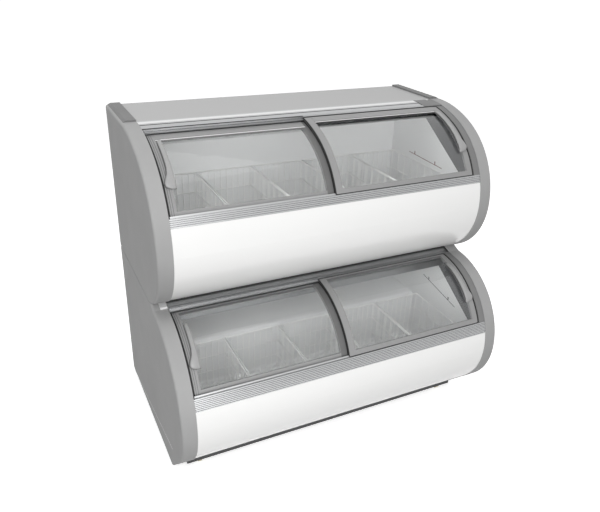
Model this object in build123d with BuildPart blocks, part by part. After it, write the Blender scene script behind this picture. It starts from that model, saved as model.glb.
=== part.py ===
from build123d import *
import os
from math import acos, asin, cos, degrees, hypot, radians, sin, tan

# Two-tier display freezer with curved sliding glass doors.
# Millimetres. +Z is up, the customer stands at -Y, +X is to their right.
# The origin lies on the floor, under the middle of the cabinet.

# Overall sizes
width = 1300.0
depth = 832.0
lower_tier_height = 634.0
upper_tier_height = 566.0
tier_setback = 166.5
base_clearance = 25.0

# Front curves of the two tiers, seen from the side
belly_drop = 230.5
belly_undercut = 14.0
crown_angle = 61.74
crown_widening = 130.0
lower_level = 310.0
lower_crest = 14.0
lower_belly_radius = 250.0
chin_angle = 45.0

# Shells and skins
cap_width = 52.5
cap_wall = 4.0
cap_arris = 9.0
neck_setback = 35.7
cap_line_lift = 60.0
cap_line_width = 3.0
cap_line_depth = 1.2
skin = 2.5
skin_recess = 2.5
rear_skin = 3.0
deck_skin = 3.0
trim_thickness = 6.0
trim_bevel = 5.0

# Tubs
cheek_thickness = 17.5
front_insulation = 62.0
rear_insulation = 71.0
upper_floor_insulation = 70.0
lower_floor_insulation = 53.0
deck_insulation = 50.0
ceiling_insulation = 74.0
step_insulation = 43.0
liner_wall = 3.0
liner_joint = 0.3
mouth_rise = 63.0
mouth_slope = 32.3
upper_heel_radius = 120.0
tub_corner = 12.0
step_height = 332.0
step_front = 60.0
step_corner = 18.0

# Door openings, as angles up from the front of each tier's curve
rail_foot_upper = 17.8
rail_foot_lower = 14.5
sill_angle = 23.3
upper_door_top = 79.5
lower_door_setback = 38.4
door_foot_gap = 3.6
door_head_gap = 4.5

# Rails
sill_depth = 50.0
sill_thickness = 3.0
rib_pitch = 6.0
rib_width = 3.2
rib_height = 1.8
head_reach = 36.0
head_lap_upper = 9.0
head_lap_lower = 26.0
brow_setback = 19.4
brow_drop = 8.0
polish_groove = 6.0
polish_depth = 5.0
polish_pitch = 12.0
groove_angle = 86.6
lower_groove_setback = 23.2
lip_foot_angle = 76.1
lip_inset = 33.0
rail_screw_pitch = 300.0
rail_screw_count = 4
rail_screw_radius = 2.9
rail_screw_head = 2.4
fin_thickness = 3.0
fin_height = 7.5
fin_bite = 3.0
fin_play = 0.4

# Doors
door_overlap = 13.0
door_thickness = 12.0
outer_door_inset = 3.0
door_pass_gap = 3.0
door_side_gap = 5.0
jamb_gap = 3.0
jamb_width = 27.0
jamb_thickness = 14.0
outer_stile = 27.0
inner_stile_left = 40.0
inner_stile_right = 26.0
door_foot_rail = 18.0
door_head_rail = 11.0
glass_thickness = 4.0
glass_bite = 4.5
glass_play = 0.3

# Door grips
grip_width = 40.0
grip_foot = 38.0
grip_head = 71.0
grip_plate = 4.0
grip_height = 12.0
grip_pad = 15.0
grip_channel = 6.0
grip_web = 1.4
grip_lobe_radius = 16.0
grip_lobe_angle = 43.0
grip_lobe_height = 14.0
grip_tip = 24.0
grip_corner = 6.0
grip_edge_gap = 2.5

# Base and castors
base_height = 72.0
base_sheet = 2.0
panel_lift = 25.0
skirt_gap = 4.5
wheel_radius = 25.0
wheel_width = 18.0
wheel_tread_bevel = 3.0
axle_radius = 3.0
axle_play = 0.05
fork_play = 1.0
fork_sheet = 2.5
castor_trail = 18.0
castor_side_inset = 105.0
castor_front_setback = 48.0
castor_rear_setback = 51.0
castor_plate = 3.0
castor_plate_size = 56.0
race_radius = 16.0
race_play = 0.5

# Baskets
baskets_per_tier = 5
basket_gap = 2.0
basket_wire = 4.0
basket_joint = 0.3
basket_bays_deep = 3
basket_bays_wide = 2
basket_belt = 0.55
basket_end_gap = 12.0
basket_rim_upper = 937.0
basket_rim_lower = 345.0
basket_lean_upper = 100.0
basket_lean_lower = 118.0

# Machine compartment
riser_insulation = 43.0
service_inset = 107.5
slot_length = 150.0
slot_gap = 12.0
slot_height = 8.0
slot_pitch = 20.0
slot_rows = 9
slot_columns = 6
grille_lift = 15.0
grille_screw_lift = 14.0
grille_screw_inset = 37.5
grille_screw_count = 5
coil_tube = 8.0
coil_pitch = 44.0
tube_radius = 3.0
shaft_radius = 3.0
hub_radius = 24.0
blade_tip = 82.0
blade_chord = 44.0
blade_sheet = 2.0
blade_pitch = 26.0
fan_blades = 5
housing_size = 60.0
housing_depth = 30.0
inlet_depth = 30.0
screw_radius = 1.8
screw_head_radius = 4.0
screw_head = 1.6

seam_height = lower_tier_height
deck_height = seam_height + upper_tier_height
upper_level = seam_height + belly_drop
upper_belly_radius = belly_drop + belly_undercut
crown_radius = deck_height - upper_level + crown_widening * sin(radians(crown_angle))
upper_door_radius = crown_radius - crown_widening
lower_door_radius = seam_height - lower_crest - lower_level
half_width = width / 2
inner_half = half_width - cap_width
tub_half = inner_half - cheek_thickness
back = depth / 2
foam_back = back - rear_skin
tub_back = back - rear_insulation


class FrontCurve:
    """The curve of one tier's front. Angles go up from the front-most point, insets go inwards."""

    def __init__(self, front, level, door_radius, belly_radius, crown=None, top=None):
        self.front = front
        self.level = level
        self.door_radius = door_radius
        self.belly_radius = belly_radius
        self.crown = crown
        self.blend = 180.0
        if crown:
            self.blend = degrees(asin((crown - (top - level)) / (crown - door_radius)))

    def circle(self, angle):
        """Centre and radius of the arc that holds this angle."""
        if angle < 0:
            return self.front + self.belly_radius, self.level, self.belly_radius
        centre_y = self.front + self.door_radius
        if angle <= self.blend:
            return centre_y, self.level, self.door_radius
        shift = self.crown - self.door_radius
        a = radians(self.blend)
        return centre_y + shift * cos(a), self.level - shift * sin(a), self.crown

    def at(self, angle, inset=0.0, rise=0.0):
        """A point at an angle, an inset under the rim and a rise along the curve."""
        centre_y, centre_z, radius = self.circle(angle)
        a = radians(angle)
        r = radius - inset
        return centre_y - r * cos(a) + rise * sin(a), centre_z + r * sin(a) + rise * cos(a)

    def arcs(self, inset, start, end):
        """The curve between two angles, as one arc for each radius that it passes through."""
        low, high = min(start, end), max(start, end)
        stops = sorted(a for a in (0.0, self.blend) if low < a < high)
        stops = [start, *(stops if end > start else stops[::-1]), end]
        found = []
        for a, b in zip(stops, stops[1:]):
            middle = (a + b) / 2
            centre_y, centre_z, radius = self.circle(middle)
            points = []
            for angle in (a, middle, b):
                t = radians(angle)
                r = radius - inset
                points.append((centre_y - r * cos(t), centre_z + r * sin(t)))
            found.append(tuple(points))
        return found

    def step(self, angle, length):
        """The angle that lies a length further along the curve."""
        return angle + degrees(length / self.circle(angle)[2])

    def angle_at(self, height, inset=0.0, above=True):
        """The angle where the curve reaches a height."""
        probe = self.blend + 1 if above and self.crown else (1 if above else -1)
        _, centre_z, radius = self.circle(probe)
        return degrees(asin((height - centre_z) / (radius - inset)))

    def angle_over(self, y):
        """The angle where the door's arc passes over y."""
        return degrees(acos((self.front + self.door_radius - y) / self.door_radius))

    def chin(self, height, inset=0.0):
        """The point at a height on the straight run that leaves the belly at the chin angle."""
        y, z = self.at(-chin_angle, inset)
        return y + (z - height) * tan(radians(chin_angle)), height


upper = FrontCurve(
    -back + tier_setback, upper_level, upper_door_radius, upper_belly_radius, crown_radius, deck_height
)
lower = FrontCurve(-back, lower_level, lower_door_radius, lower_belly_radius)


def bend(before, corner, after, radius):
    """The arc that rounds one corner of an outline."""
    p, c, q = Vector(*before), Vector(*corner), Vector(*after)
    u, v = (p - c).normalized(), (q - c).normalized()
    half = radians(u.get_angle(v) / 2)
    middle = (u + v).normalized()
    start, end = c + u * (radius / tan(half)), c + v * (radius / tan(half))
    top = c + middle * (radius / sin(half) - radius)
    return (start.X, start.Y), (top.X, top.Y), (end.X, end.Y)


def outline(*stretches):
    """Draws a closed outline: a pair is a point, a triple of pairs is an arc."""
    ends = []
    for s in stretches:
        if len(s) == 3:
            ThreePointArc(*s)
            ends.append((s[0], s[2]))
        else:
            ends.append((s, s))
    for (_, a), (b, _) in zip(ends, ends[1:] + ends[:1]):
        if hypot(a[0] - b[0], a[1] - b[1]) > 1e-6:
            Line(a, b)


def prism(x0, x1, *stretches, mode=Mode.ADD):
    """Extrudes an outline of (y, z) points across the cabinet from x0 to x1."""
    with BuildSketch(Plane.YZ.offset(min(x0, x1))) as profile:
        with BuildLine():
            outline(*stretches)
        make_face()
    extrude(profile.sketch, amount=abs(x1 - x0), mode=mode)


def band(curve, outer, inner, start, end):
    """The outline of a curved strip between two insets."""
    return [*curve.arcs(outer, start, end), *curve.arcs(inner, end, start)]


def save(builder, label):
    """Names a finished piece and writes it."""
    builder.part.label = label
    export_step(builder.part, f"parts/{label}.step")


os.makedirs("parts", exist_ok=True)

# Shared heights and places
upper_floor = upper_level - upper_belly_radius + upper_floor_insulation
upper_ceiling = deck_height - deck_insulation
lower_floor = base_height + lower_floor_insulation
lower_ceiling = seam_height - ceiling_insulation
machine_ceiling = step_height - step_insulation
machine_front = step_front + riser_insulation
skin_inset = skin_recess + skin
seam_angle = upper.angle_at(seam_height, 0.0, above=False)
seam_y = upper.at(seam_angle)[0]
head_front_upper = upper.circle(90.0)[0] + head_lap_upper
head_back_lower = seam_y + head_lap_lower
neck_angle = lower.angle_over(seam_y - neck_setback)
brow_angle = lower.angle_over(seam_y - brow_setback)
lower_door_top = lower.angle_over(seam_y - lower_door_setback)
lower_groove_angle = lower.angle_over(seam_y - lower_groove_setback)
inner_door_inset = outer_door_inset + door_thickness + door_pass_gap
cheek_inset = inner_door_inset + door_thickness + 1.0
outer_track = outer_door_inset + door_thickness / 2
inner_track = inner_door_inset + door_thickness / 2
left_door_x = -inner_half + door_side_gap
right_door_end = inner_half - jamb_width - jamb_gap
door_width = (right_door_end - left_door_x + door_overlap) / 2
right_door_x = right_door_end - door_width


def head_angle(curve, door_top):
    """The angle of the top rail's lower face."""
    return curve.step(door_top, door_head_gap)


upper_head = head_angle(upper, upper_door_top)
lower_head = head_angle(lower, lower_door_top)


def mouth(curve, ceiling):
    """Front and top ends of the slanted edge of a tub's side wall."""
    front = curve.at(0, front_insulation)[0]
    low = curve.level + mouth_rise
    top = front + (ceiling - low) / tan(radians(mouth_slope))
    return (front, low), (top, ceiling)


def sill_under(curve, y):
    """Height of the sill's underside at y."""
    corner = curve.at(sill_angle, sill_depth, -sill_thickness)
    return corner[1] + (corner[0] - y) * tan(radians(sill_angle))


# End caps
def upper_cap_outline(inset):
    foot = upper.angle_at(seam_height + inset, inset, above=False)
    return [
        (back - inset, seam_height + inset),
        (back - inset, deck_height - inset),
        *upper.arcs(inset, 90.0, foot),
    ]


def lower_cap_outline(inset):
    """The lower rim leaves its door arc for a short neck up to the seam."""
    return [
        (back - inset, base_clearance + inset),
        (back - inset, seam_height - inset),
        (seam_y, seam_height - inset),
        *lower.arcs(inset, neck_angle, -chin_angle),
        lower.chin(base_clearance + inset, inset),
    ]


def end_cap(side, cap_outline, label):
    """A moulded shell: a side wall with a rim round it, open towards the tubs."""
    with BuildPart() as cap:
        prism(side * inner_half, side * half_width, *cap_outline(0.0))
        rim = cap.faces().sort_by(Axis.X)[-1 if side > 0 else 0]
        fillet(rim.edges(), cap_arris)
        prism(side * (inner_half - 1), side * (half_width - cap_wall), *cap_outline(cap_wall), mode=Mode.SUBTRACT)
        if cap_outline is lower_cap_outline:
            z = base_clearance + cap_line_lift
            y = lower.chin(z)[0]
            line = [(y - 1, z), (back + 1, z), (back + 1, z + cap_line_width), (y - 1, z + cap_line_width)]
            prism(side * (half_width - cap_line_depth), side * (half_width + 1), *line, mode=Mode.SUBTRACT)
    save(cap, label)


for side, word in ((-1, "left"), (1, "right")):
    end_cap(side, upper_cap_outline, f"{word}_upper_cap")
    end_cap(side, lower_cap_outline, f"{word}_lower_cap")


# Top trims
def top_trim(side, label):
    with BuildPart() as trim:
        with BuildSketch(Plane.XZ.offset(-back)):
            with BuildLine():
                outer = side * (half_width - cap_arris)
                top = deck_height + trim_thickness
                Polyline(
                    (side * inner_half, deck_height),
                    (side * inner_half, top),
                    (outer - side * trim_bevel * 2, top),
                    (outer, top - trim_bevel),
                    (outer, deck_height),
                    close=True,
                )
            make_face()
        extrude(amount=back - head_front_upper)
    save(trim, label)


top_trim(-1, "left_top_trim")
top_trim(1, "right_top_trim")

# Top deck
with BuildPart() as top_deck:
    prism(
        -inner_half,
        inner_half,
        (head_front_upper, deck_height),
        (foam_back, deck_height),
        (foam_back, deck_height - deck_skin),
        (head_front_upper, deck_height - deck_skin),
    )
save(top_deck, "top_deck")

# Front panels
with BuildPart() as upper_front_panel:
    outer_foot = upper.angle_at(seam_height, skin_recess, above=False)
    inner_foot = upper.angle_at(seam_height, skin_inset, above=False)
    prism(
        -inner_half,
        inner_half,
        *upper.arcs(skin_recess, outer_foot, rail_foot_upper),
        *upper.arcs(skin_inset, rail_foot_upper, inner_foot),
    )
save(upper_front_panel, "upper_front_panel")

panel_foot = base_clearance + panel_lift
skirt_front = lower.chin(panel_foot, skin_inset)[0] + skirt_gap
with BuildPart() as lower_front_panel:
    prism(
        -inner_half,
        inner_half,
        lower.chin(panel_foot, skin_recess),
        *lower.arcs(skin_recess, -chin_angle, rail_foot_lower),
        *lower.arcs(skin_inset, rail_foot_lower, -chin_angle),
        lower.chin(panel_foot, skin_inset),
    )
save(lower_front_panel, "lower_front_panel")


# Bottom rails
def bottom_rail(curve, foot, label):
    """A ribbed face, a sill that bridges to the tub, and one guide fin for each door track."""
    with BuildPart() as rail:
        prism(-inner_half, inner_half, *band(curve, skin_recess, skin_inset, foot, sill_angle))
        prism(
            -inner_half,
            inner_half,
            curve.at(sill_angle, skin_recess),
            curve.at(sill_angle, sill_depth),
            curve.at(sill_angle, sill_depth, -sill_thickness),
            curve.at(sill_angle, skin_recess, -sill_thickness),
        )
        length = radians(sill_angle - foot) * curve.door_radius
        ribs = int((length - rib_width) / rib_pitch) + 1
        first = (length - (ribs - 1) * rib_pitch - rib_width) / 2
        for i in range(ribs):
            a = curve.step(foot, first + i * rib_pitch)
            b = curve.step(a, rib_width)
            prism(-inner_half, inner_half, *band(curve, skin_recess - rib_height, skin_recess + 0.5, a, b))
        for track, end in ((outer_track, right_door_end), (inner_track, inner_half)):
            a = curve.step(sill_angle, -1.0)
            b = curve.step(sill_angle, fin_height)
            half = fin_thickness / 2
            prism(left_door_x, end, *band(curve, track - half, track + half, a, b))
    save(rail, label)


bottom_rail(upper, rail_foot_upper, "upper_bottom_rail")
bottom_rail(lower, rail_foot_lower, "lower_bottom_rail")


# Top rails
def head_fins(curve, head):
    """Guide fins that hang from a top rail into the doors' top edges."""
    for track, end in ((outer_track, right_door_end), (inner_track, inner_half)):
        a = curve.step(head, -door_head_gap - fin_bite)
        b = curve.step(head, 1.0)
        half = fin_thickness / 2
        prism(left_door_x, end, *band(curve, track - half, track + half, a, b))


def polished_grooves(curve, first, count):
    for i in range(count):
        a = curve.step(first, -i * polish_pitch)
        b = curve.step(a, -polish_groove)
        prism(-inner_half, inner_half, *band(curve, -2.0, polish_depth, a, b), mode=Mode.SUBTRACT)


with BuildPart() as upper_top_rail:
    reach_y, reach_z = upper.at(upper_head, head_reach)
    prism(
        -inner_half,
        inner_half,
        (head_front_upper, upper_ceiling),
        (head_front_upper, deck_height),
        *upper.arcs(0.0, 90.0, upper_head),
        (reach_y, reach_z),
        (reach_y, upper_ceiling),
    )
    polished_grooves(upper, groove_angle, 3)
    head_fins(upper, upper_head)
    prism(-tub_half, tub_half, *band(upper, lip_inset, head_reach, lip_foot_angle, upper.step(upper_head, 1.0)))
save(upper_top_rail, "upper_top_rail")

with BuildPart() as lower_top_rail:
    reach_y, reach_z = lower.at(lower_head, head_reach)
    brow_z = seam_height - brow_drop
    prism(
        -inner_half,
        inner_half,
        (head_back_lower, lower_ceiling),
        (head_back_lower, seam_height),
        (seam_y + skin_recess, seam_height),
        (seam_y + skin_recess, brow_z),
        *lower.arcs(skin_recess, brow_angle, lower_head),
        (reach_y, reach_z),
        (reach_y, lower_ceiling),
    )
    polished_grooves(lower, lower_groove_angle, 1)
    head_fins(lower, lower_head)
save(lower_top_rail, "lower_top_rail")


# Jambs beside the right-hand doors
def jamb(curve, head, label):
    with BuildPart() as strip:
        x0 = inner_half - jamb_width
        prism(x0, inner_half, *band(curve, skin_recess, skin_recess + jamb_thickness, sill_angle, head))
    save(strip, label)


jamb(upper, upper_head, "upper_right_jamb")
jamb(lower, lower_head, "lower_right_jamb")


# Cheeks between the tub walls and the doors
def cheeks(curve, head, ceiling, label):
    front, top = mouth(curve, ceiling)
    reach_y, reach_z = curve.at(head, head_reach)
    with BuildPart() as pair:
        for side in (-1, 1):
            prism(
                side * tub_half,
                side * inner_half,
                front,
                (front[0], sill_under(curve, front[0])),
                curve.at(sill_angle, sill_depth, -sill_thickness),
                curve.at(sill_angle, sill_depth),
                *curve.arcs(cheek_inset, sill_angle, head),
                (reach_y, reach_z),
                (reach_y, ceiling),
                top,
            )
    save(pair, label)


cheeks(upper, upper_head, upper_ceiling, "upper_cheeks")
cheeks(lower, lower_head, lower_ceiling, "lower_cheeks")


# Tub liners and the insulation round them
def upper_tub(grow):
    """Front wall, heel, floor, rear wall and ceiling of the upper tub, grown by a wall."""
    front, top = mouth(upper, upper_ceiling)
    y0, y1 = front[0] - grow, tub_back + grow
    z0, z1 = upper_floor - grow, upper_ceiling + grow
    return [
        bend((y0, z1), (y0, z0), (y1, z0), upper_heel_radius + grow),
        bend((y0, z0), (y1, z0), (y1, z1), tub_corner + grow),
        bend((y1, z0), (y1, z1), (y0, z1), tub_corner / 2 + grow),
    ]


def lower_tub(grow):
    """The lower tub follows the belly, and steps up over the machine compartment."""
    floor = lower_floor - grow
    well_back = step_front + grow
    step = step_height - grow
    y1, z1 = tub_back + grow, lower_ceiling + grow
    toe = lower.chin(floor, front_insulation - grow)
    return [
        *lower.arcs(front_insulation - grow, 0.0, -chin_angle),
        toe,
        bend(toe, (well_back, floor), (well_back, step), tub_corner + grow),
        bend((well_back, floor), (well_back, step), (y1, step), step_corner - grow),
        bend((well_back, step), (y1, step), (y1, z1), step_corner + grow),
        bend((y1, step), (y1, z1), (well_back, z1), step_corner + grow),
    ]


def liner_outside(curve, tub, ceiling, head_back):
    front, top = mouth(curve, ceiling)
    y0 = front[0] - liner_wall
    return [
        front,
        (front[0], sill_under(curve, front[0])),
        (y0, sill_under(curve, y0)),
        *tub(liner_wall),
        (head_back, ceiling + liner_wall),
        (head_back, ceiling),
        top,
    ]


def liner(curve, tub, ceiling, head_back, label):
    """A sheet bent round the tub, and a flat end wall on each side of it."""
    front, _ = mouth(curve, ceiling)
    whole = liner_outside(curve, tub, ceiling, head_back)
    with BuildPart() as shell:
        prism(-tub_half, tub_half, *whole)
        prism(-tub_half - 1, tub_half + 1, (front[0], ceiling), *tub(0.0), mode=Mode.SUBTRACT)
        for side in (-1, 1):
            prism(side * (tub_half + liner_joint), side * (tub_half + liner_wall), *whole)
    save(shell, label)


liner(upper, upper_tub, upper_ceiling, head_front_upper, "upper_liner")
liner(lower, lower_tub, lower_ceiling, head_back_lower, "lower_liner")


def coil(z_low, z_high):
    """A flat serpentine tube pressed on the outside of a liner's rear wall."""
    y = tub_back + liner_wall
    reach = tub_half - 60.0
    rows = int((z_high - z_low) / coil_pitch) + 1
    with BuildSketch(Plane.XZ.offset(-y)) as tube:
        for i in range(rows):
            z = z_low + i * coil_pitch
            with Locations((0, z)):
                Rectangle(2 * reach, coil_tube)
            if i < rows - 1:
                side = 1 if i % 2 == 0 else -1
                with Locations((side * reach, z + coil_pitch / 2)):
                    Rectangle(coil_tube, coil_pitch + coil_tube)
    extrude(tube.sketch, amount=-coil_tube)


upper_coil = (upper_floor + 50.0, upper_ceiling - 30.0)
lower_coil = (step_height + 30.0, lower_ceiling - 20.0)

with BuildPart() as evaporator_coils:
    coil(*upper_coil)
    coil(*lower_coil)
save(evaporator_coils, "evaporator_coils")

upper_front, upper_mouth_top = mouth(upper, upper_ceiling)
lower_front, lower_mouth_top = mouth(lower, lower_ceiling)
foam_sides = tub_half + liner_wall

with BuildPart() as upper_foam:
    seam_in = upper.angle_at(seam_height, skin_inset, above=False)
    sill_root = upper.step(sill_angle, -sill_thickness)
    prism(
        -inner_half,
        inner_half,
        (head_front_upper, upper_ceiling),
        (head_front_upper, deck_height - deck_skin),
        (foam_back, deck_height - deck_skin),
        (foam_back, seam_height),
        *upper.arcs(skin_inset, seam_in, sill_root - 0.2),
        (upper_front[0], sill_under(upper, upper_front[0])),
        upper_front,
        upper_mouth_top,
    )
    prism(
        -foam_sides,
        foam_sides,
        *liner_outside(upper, upper_tub, upper_ceiling, head_front_upper),
        mode=Mode.SUBTRACT,
    )
    add(evaporator_coils.part, mode=Mode.SUBTRACT)
save(upper_foam, "upper_foam")

with BuildPart() as lower_foam:
    sill_root = lower.step(sill_angle, -sill_thickness)
    prism(
        -inner_half,
        inner_half,
        (head_back_lower, lower_ceiling),
        (head_back_lower, seam_height),
        (foam_back, seam_height),
        (foam_back, machine_ceiling),
        (machine_front, machine_ceiling),
        (machine_front, base_height),
        lower.chin(base_height, skin_inset),
        *lower.arcs(skin_inset, -chin_angle, sill_root - 0.2),
        (lower_front[0], sill_under(lower, lower_front[0])),
        lower_front,
        lower_mouth_top,
    )
    prism(
        -foam_sides,
        foam_sides,
        *liner_outside(lower, lower_tub, lower_ceiling, head_back_lower),
        mode=Mode.SUBTRACT,
    )
    add(evaporator_coils.part, mode=Mode.SUBTRACT)
save(lower_foam, "lower_foam")


# Rear panels and machine grille
def rear_sheet(z0, z1, label):
    with BuildPart() as panel:
        prism(-inner_half, inner_half, (foam_back, z0), (back, z0), (back, z1), (foam_back, z1))
    save(panel, label)


rear_sheet(seam_height, deck_height, "upper_rear_panel")
rear_sheet(machine_ceiling, seam_height, "lower_rear_panel")

knob_x = inner_half - service_inset
knob_z = 210.0
knob_radius = 18.0
knob_well_radius = 24.0
inlet_x = inner_half - service_inset
inlet_z = 110.0
inlet_width = 30.0
inlet_height = 22.0
grille_foot = base_clearance + grille_lift
grille_screw_z = grille_foot + grille_screw_lift
screw_span = 2 * (inner_half - grille_screw_inset)
grille_screw_x = [screw_span * (i / (grille_screw_count - 1) - 0.5) for i in range(grille_screw_count)]
grille_middle_x = -60.0
grille_middle_z = (base_height + machine_ceiling) / 2 + 4.0

with BuildPart() as machine_grille:
    prism(
        -inner_half,
        inner_half,
        (foam_back, grille_foot),
        (back, grille_foot),
        (back, machine_ceiling),
        (foam_back, machine_ceiling),
    )
    with BuildSketch(Plane.XZ.offset(-back)):
        with Locations(*[(x, grille_screw_z) for x in grille_screw_x]):
            Circle(screw_head_radius)
    extrude(amount=screw_head, mode=Mode.SUBTRACT)
    with BuildSketch(Plane.XZ.offset(-back)):
        with Locations(*[(x, grille_screw_z) for x in grille_screw_x]):
            Circle(screw_radius)
        with Locations((grille_middle_x, grille_middle_z)):
            with GridLocations(slot_length + slot_gap, slot_pitch, slot_columns, slot_rows):
                Rectangle(slot_length, slot_height)
        with Locations((knob_x, knob_z)):
            Circle(knob_well_radius)
        with Locations((inlet_x, inlet_z)):
            Rectangle(inlet_width, inlet_height)
    extrude(amount=rear_skin + 1, mode=Mode.SUBTRACT)
save(machine_grille, "machine_grille")

# Base frame
with BuildPart() as base_frame:
    middle_y = (foam_back + skirt_front) / 2
    length_y = foam_back - skirt_front
    tall = base_height - base_clearance
    with BuildSketch(Plane.XY.offset(base_clearance)):
        with Locations((0, middle_y)):
            Rectangle(2 * inner_half, length_y)
    extrude(amount=tall)
    with BuildSketch(Plane.XY.offset(base_clearance)):
        with Locations((0, middle_y)):
            Rectangle(2 * (inner_half - base_sheet), length_y - 2 * base_sheet)
    extrude(amount=tall - base_sheet, mode=Mode.SUBTRACT)
    with BuildSketch(Plane.XZ.offset(-foam_back)):
        with Locations(*[(x, grille_screw_z) for x in grille_screw_x]):
            Circle(screw_radius)
    extrude(amount=base_sheet + 1, mode=Mode.SUBTRACT)
save(base_frame, "base_frame")


# Doors
def door(curve, top, x0, inset, stiles, word):
    """A curved frame with a bent pane in its slots. Guide fins run in the grooves of its ends."""
    foot = curve.step(sill_angle, door_foot_gap)
    x1 = x0 + door_width
    left, right = stiles
    low = curve.step(foot, door_foot_rail)
    high = curve.step(top, -door_head_rail)
    track = inset + door_thickness / 2
    half_pane = glass_thickness / 2
    pane_low = curve.step(low, -glass_bite)
    pane_high = curve.step(high, glass_bite)
    with BuildPart() as frame:
        prism(x0, x1, *band(curve, inset, inset + door_thickness, foot, top))
        prism(
            x0 + left,
            x1 - right,
            *band(curve, inset - 1, inset + door_thickness + 1, low, high),
            mode=Mode.SUBTRACT,
        )
        slot_low = curve.step(pane_low, -glass_play)
        slot_high = curve.step(pane_high, glass_play)
        half_slot = half_pane + glass_play
        prism(
            x0 + left - glass_bite - glass_play,
            x1 - right + glass_bite + glass_play,
            *band(curve, track - half_slot, track + half_slot, slot_low, slot_high),
            mode=Mode.SUBTRACT,
        )
        half_groove = fin_thickness / 2 + fin_play
        groove = fin_height - door_foot_gap + 1.5
        ends = (
            (curve.step(foot, -1.0), curve.step(foot, groove)),
            (curve.step(top, -fin_bite - 1.5), curve.step(top, 1.0)),
        )
        for a, b in ends:
            prism(x0 - 1, x1 + 1, *band(curve, track - half_groove, track + half_groove, a, b), mode=Mode.SUBTRACT)
    save(frame, f"{word}_door_frame")
    with BuildPart() as pane:
        prism(
            x0 + left - glass_bite,
            x1 - right + glass_bite,
            *band(curve, track - half_pane, track + half_pane, pane_low, pane_high),
        )
    save(pane, f"{word}_door_glass")


def facing(curve, angle, inset, x):
    """A plane on the curve whose normal points out of the cabinet and whose Y runs up the curve."""
    y, z = curve.at(angle, inset)
    t = radians(angle)
    return Plane((x, y, z), x_dir=(1, 0, 0), z_dir=(0, -cos(t), sin(t)))


def grip(curve, outer_x, side, inset, word):
    """A moulded grip: a flange on the stile, an arched pad beside the glass and a lobe at its foot."""
    far = outer_x - side * grip_width
    half = grip_width / 2
    crest = inset - grip_height
    rise = curve.step(grip_foot, grip_height / 2)
    fall = curve.step(grip_head, -3 * grip_height)
    middle = (grip_foot + grip_head) / 2
    half_length = curve.door_radius * sin(radians(grip_head - middle)) + 4.0
    channel = far + side * grip_pad
    with BuildPart() as handle:
        prism(outer_x, far, *band(curve, inset - grip_plate, inset, grip_foot, grip_head))
        prism(
            channel,
            channel + side * grip_channel,
            *band(curve, inset - grip_plate - 1, inset - grip_web, grip_lobe_angle, curve.step(grip_head, -9.0)),
            mode=Mode.SUBTRACT,
        )
        prism(
            far,
            channel,
            curve.at(grip_foot, inset),
            *curve.arcs(crest, rise, fall),
            *curve.arcs(inset, grip_head, grip_foot),
        )
        with BuildSketch(facing(curve, grip_lobe_angle, inset - 1.0, outer_x - side * half)) as boss:
            Circle(grip_lobe_radius)
        extrude(boss.sketch, amount=grip_lobe_height, taper=14)
        with BuildSketch(facing(curve, middle, inset, outer_x - side * half)) as plan:
            with BuildLine():
                outer, tip = side * half, side * (half - grip_width + grip_tip)
                ThreePointArc((outer, -half_length), ((outer * 2 + tip) / 3, 0), (tip, half_length))
                Polyline((tip, half_length), (-outer, half_length), (-outer, -half_length), (outer, -half_length))
            make_face()
            fillet(plan.vertices().group_by(Axis.Y)[-1], grip_corner)
        extrude(plan.sketch, amount=3 * grip_height, both=True, mode=Mode.INTERSECT)
    save(handle, f"{word}_door_handle")


for curve, top, tier in ((upper, upper_door_top, "upper"), (lower, lower_door_top, "lower")):
    door(curve, top, left_door_x, inner_door_inset, (outer_stile, inner_stile_left), f"{tier}_left")
    door(curve, top, right_door_x, outer_door_inset, (inner_stile_right, outer_stile), f"{tier}_right")
    grip(curve, left_door_x + grip_edge_gap, -1, inner_door_inset, f"{tier}_left")
    grip(curve, right_door_end - grip_edge_gap, 1, outer_door_inset, f"{tier}_right")


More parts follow.
